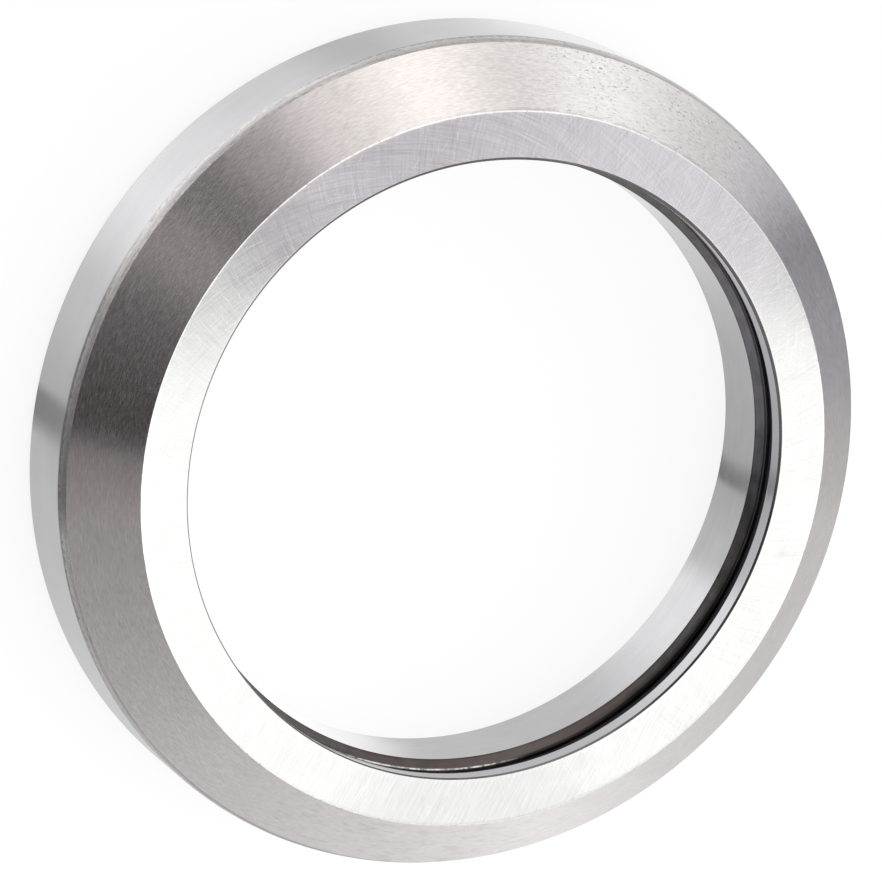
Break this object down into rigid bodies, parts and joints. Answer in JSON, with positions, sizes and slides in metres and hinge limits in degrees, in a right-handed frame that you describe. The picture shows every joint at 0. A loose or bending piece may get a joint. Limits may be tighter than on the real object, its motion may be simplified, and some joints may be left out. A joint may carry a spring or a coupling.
{
  "type": "headset bearing",
  "caption": "Sealed angular contact headset bearing: two steel rings with conical seats, caged balls between them and a rubber lip seal at each end.",
  "frame": {"origin": "centre of the back face, on the bearing's axis", "axes": "+Z along the axis, from the back face with the inner seat up to the flat front face with the outer seat"},
  "size_m": [0.0418, 0.0418, 0.008],
  "materials": {
    "ring_steel": "ground and brushed bearing steel",
    "ball_steel": "polished bearing steel",
    "cage_nylon": "moulded glass-filled nylon",
    "seal_rubber": "moulded nitrile rubber"
  },
  "bodies": {
    "outer": {"outer_ring": "ring_steel", "front_seal": "seal_rubber", "back_seal": "seal_rubber"},
    "inner": {"inner_ring": "ring_steel"},
    "cage": {"ball_cage": "cage_nylon"},
    "ball_01": {"ball_01": "ball_steel"},
    "ball_02": {"ball_02": "ball_steel"},
    "ball_03": {"ball_03": "ball_steel"},
    "ball_04": {"ball_04": "ball_steel"},
    "ball_05": {"ball_05": "ball_steel"},
    "ball_06": {"ball_06": "ball_steel"},
    "ball_07": {"ball_07": "ball_steel"},
    "ball_08": {"ball_08": "ball_steel"},
    "ball_09": {"ball_09": "ball_steel"},
    "ball_10": {"ball_10": "ball_steel"},
    "ball_11": {"ball_11": "ball_steel"},
    "ball_12": {"ball_12": "ball_steel"},
    "ball_13": {"ball_13": "ball_steel"},
    "ball_14": {"ball_14": "ball_steel"},
    "ball_15": {"ball_15": "ball_steel"},
    "ball_16": {"ball_16": "ball_steel"},
    "ball_17": {"ball_17": "ball_steel"},
    "ball_18": {"ball_18": "ball_steel"},
    "ball_19": {"ball_19": "ball_steel"},
    "ball_20": {"ball_20": "ball_steel"},
    "ball_21": {"ball_21": "ball_steel"},
    "ball_22": {"ball_22": "ball_steel"},
    "ball_23": {"ball_23": "ball_steel"},
    "ball_24": {"ball_24": "ball_steel"},
    "ball_25": {"ball_25": "ball_steel"},
    "ball_26": {"ball_26": "ball_steel"},
    "ball_27": {"ball_27": "ball_steel"},
    "ball_28": {"ball_28": "ball_steel"}
  },
  "joints": [
    {"name": "inner_ring_spin", "type": "hinge", "parent": "outer", "child": "inner", "pos_m": [0, 0, 0.00385], "axis": [0, 0, 1], "continuous": true},
    {"name": "cage_orbit", "type": "hinge", "parent": "outer", "child": "cage", "pos_m": [0, 0, 0.00356], "axis": [0, 0, 1], "continuous": true},
    {"name": "ball_01_roll", "type": "hinge", "parent": "cage", "child": "ball_01", "pos_m": [0.01808, 0, 0.00356], "axis": [-0.7071, 0, 0.7071], "continuous": true},
    {"name": "ball_02_roll", "type": "hinge", "parent": "cage", "child": "ball_02", "pos_m": [0.01762, 0.00402, 0.00356], "axis": [-0.6894, -0.1573, 0.7071], "continuous": true},
    {"name": "ball_03_roll", "type": "hinge", "parent": "cage", "child": "ball_03", "pos_m": [0.01629, 0.00784, 0.00356], "axis": [-0.6371, -0.3068, 0.7071], "continuous": true},
    {"name": "ball_04_roll", "type": "hinge", "parent": "cage", "child": "ball_04", "pos_m": [0.01413, 0.01127, 0.00356], "axis": [-0.5528, -0.4409, 0.7071], "continuous": true},
    {"name": "ball_05_roll", "type": "hinge", "parent": "cage", "child": "ball_05", "pos_m": [0.01127, 0.01413, 0.00356], "axis": [-0.4409, -0.5528, 0.7071], "continuous": true},
    {"name": "ball_06_roll", "type": "hinge", "parent": "cage", "child": "ball_06", "pos_m": [0.00784, 0.01629, 0.00356], "axis": [-0.3068, -0.6371, 0.7071], "continuous": true},
    {"name": "ball_07_roll", "type": "hinge", "parent": "cage", "child": "ball_07", "pos_m": [0.00402, 0.01762, 0.00356], "axis": [-0.1573, -0.6894, 0.7071], "continuous": true},
    {"name": "ball_08_roll", "type": "hinge", "parent": "cage", "child": "ball_08", "pos_m": [0, 0.01808, 0.00356], "axis": [0, -0.7071, 0.7071], "continuous": true},
    {"name": "ball_09_roll", "type": "hinge", "parent": "cage", "child": "ball_09", "pos_m": [-0.00402, 0.01762, 0.00356], "axis": [0.1573, -0.6894, 0.7071], "continuous": true},
    {"name": "ball_10_roll", "type": "hinge", "parent": "cage", "child": "ball_10", "pos_m": [-0.00784, 0.01629, 0.00356], "axis": [0.3068, -0.6371, 0.7071], "continuous": true},
    {"name": "ball_11_roll", "type": "hinge", "parent": "cage", "child": "ball_11", "pos_m": [-0.01127, 0.01413, 0.00356], "axis": [0.4409, -0.5528, 0.7071], "continuous": true},
    {"name": "ball_12_roll", "type": "hinge", "parent": "cage", "child": "ball_12", "pos_m": [-0.01413, 0.01127, 0.00356], "axis": [0.5528, -0.4409, 0.7071], "continuous": true},
    {"name": "ball_13_roll", "type": "hinge", "parent": "cage", "child": "ball_13", "pos_m": [-0.01629, 0.00784, 0.00356], "axis": [0.6371, -0.3068, 0.7071], "continuous": true},
    {"name": "ball_14_roll", "type": "hinge", "parent": "cage", "child": "ball_14", "pos_m": [-0.01762, 0.00402, 0.00356], "axis": [0.6894, -0.1573, 0.7071], "continuous": true},
    {"name": "ball_15_roll", "type": "hinge", "parent": "cage", "child": "ball_15", "pos_m": [-0.01808, 0, 0.00356], "axis": [0.7071, 0, 0.7071], "continuous": true},
    {"name": "ball_16_roll", "type": "hinge", "parent": "cage", "child": "ball_16", "pos_m": [-0.01762, -0.00402, 0.00356], "axis": [0.6894, 0.1573, 0.7071], "continuous": true},
    {"name": "ball_17_roll", "type": "hinge", "parent": "cage", "child": "ball_17", "pos_m": [-0.01629, -0.00784, 0.00356], "axis": [0.6371, 0.3068, 0.7071], "continuous": true},
    {"name": "ball_18_roll", "type": "hinge", "parent": "cage", "child": "ball_18", "pos_m": [-0.01413, -0.01127, 0.00356], "axis": [0.5528, 0.4409, 0.7071], "continuous": true},
    {"name": "ball_19_roll", "type": "hinge", "parent": "cage", "child": "ball_19", "pos_m": [-0.01127, -0.01413, 0.00356], "axis": [0.4409, 0.5528, 0.7071], "continuous": true},
    {"name": "ball_20_roll", "type": "hinge", "parent": "cage", "child": "ball_20", "pos_m": [-0.00784, -0.01629, 0.00356], "axis": [0.3068, 0.6371, 0.7071], "continuous": true},
    {"name": "ball_21_roll", "type": "hinge", "parent": "cage", "child": "ball_21", "pos_m": [-0.00402, -0.01762, 0.00356], "axis": [0.1573, 0.6894, 0.7071], "continuous": true},
    {"name": "ball_22_roll", "type": "hinge", "parent": "cage", "child": "ball_22", "pos_m": [0, -0.01808, 0.00356], "axis": [0, 0.7071, 0.7071], "continuous": true},
    {"name": "ball_23_roll", "type": "hinge", "parent": "cage", "child": "ball_23", "pos_m": [0.00402, -0.01762, 0.00356], "axis": [-0.1573, 0.6894, 0.7071], "continuous": true},
    {"name": "ball_24_roll", "type": "hinge", "parent": "cage", "child": "ball_24", "pos_m": [0.00784, -0.01629, 0.00356], "axis": [-0.3068, 0.6371, 0.7071], "continuous": true},
    {"name": "ball_25_roll", "type": "hinge", "parent": "cage", "child": "ball_25", "pos_m": [0.01127, -0.01413, 0.00356], "axis": [-0.4409, 0.5528, 0.7071], "continuous": true},
    {"name": "ball_26_roll", "type": "hinge", "parent": "cage", "child": "ball_26", "pos_m": [0.01413, -0.01127, 0.00356], "axis": [-0.5528, 0.4409, 0.7071], "continuous": true},
    {"name": "ball_27_roll", "type": "hinge", "parent": "cage", "child": "ball_27", "pos_m": [0.01629, -0.00784, 0.00356], "axis": [-0.6371, 0.3068, 0.7071], "continuous": true},
    {"name": "ball_28_roll", "type": "hinge", "parent": "cage", "child": "ball_28", "pos_m": [0.01762, -0.00402, 0.00356], "axis": [-0.6894, 0.1573, 0.7071], "continuous": true}
  ],
  "couplings": [
    {"joint": "cage_orbit", "follows": "inner_ring_spin", "ratio": 0.46895},
    {"joint": "ball_01_roll", "follows": "inner_ring_spin", "ratio": -5.671},
    {"joint": "ball_02_roll", "follows": "inner_ring_spin", "ratio": -5.671},
    {"joint": "ball_03_roll", "follows": "inner_ring_spin", "ratio": -5.671},
    {"joint": "ball_04_roll", "follows": "inner_ring_spin", "ratio": -5.671},
    {"joint": "ball_05_roll", "follows": "inner_ring_spin", "ratio": -5.671},
    {"joint": "ball_06_roll", "follows": "inner_ring_spin", "ratio": -5.671},
    {"joint": "ball_07_roll", "follows": "inner_ring_spin", "ratio": -5.671},
    {"joint": "ball_08_roll", "follows": "inner_ring_spin", "ratio": -5.671},
    {"joint": "ball_09_roll", "follows": "inner_ring_spin", "ratio": -5.671},
    {"joint": "ball_10_roll", "follows": "inner_ring_spin", "ratio": -5.671},
    {"joint": "ball_11_roll", "follows": "inner_ring_spin", "ratio": -5.671},
    {"joint": "ball_12_roll", "follows": "inner_ring_spin", "ratio": -5.671},
    {"joint": "ball_13_roll", "follows": "inner_ring_spin", "ratio": -5.671},
    {"joint": "ball_14_roll", "follows": "inner_ring_spin", "ratio": -5.671},
    {"joint": "ball_15_roll", "follows": "inner_ring_spin", "ratio": -5.671},
    {"joint": "ball_16_roll", "follows": "inner_ring_spin", "ratio": -5.671},
    {"joint": "ball_17_roll", "follows": "inner_ring_spin", "ratio": -5.671},
    {"joint": "ball_18_roll", "follows": "inner_ring_spin", "ratio": -5.671},
    {"joint": "ball_19_roll", "follows": "inner_ring_spin", "ratio": -5.671},
    {"joint": "ball_20_roll", "follows": "inner_ring_spin", "ratio": -5.671},
    {"joint": "ball_21_roll", "follows": "inner_ring_spin", "ratio": -5.671},
    {"joint": "ball_22_roll", "follows": "inner_ring_spin", "ratio": -5.671},
    {"joint": "ball_23_roll", "follows": "inner_ring_spin", "ratio": -5.671},
    {"joint": "ball_24_roll", "follows": "inner_ring_spin", "ratio": -5.671},
    {"joint": "ball_25_roll", "follows": "inner_ring_spin", "ratio": -5.671},
    {"joint": "ball_26_roll", "follows": "inner_ring_spin", "ratio": -5.671},
    {"joint": "ball_27_roll", "follows": "inner_ring_spin", "ratio": -5.671},
    {"joint": "ball_28_roll", "follows": "inner_ring_spin", "ratio": -5.671}
  ]
}
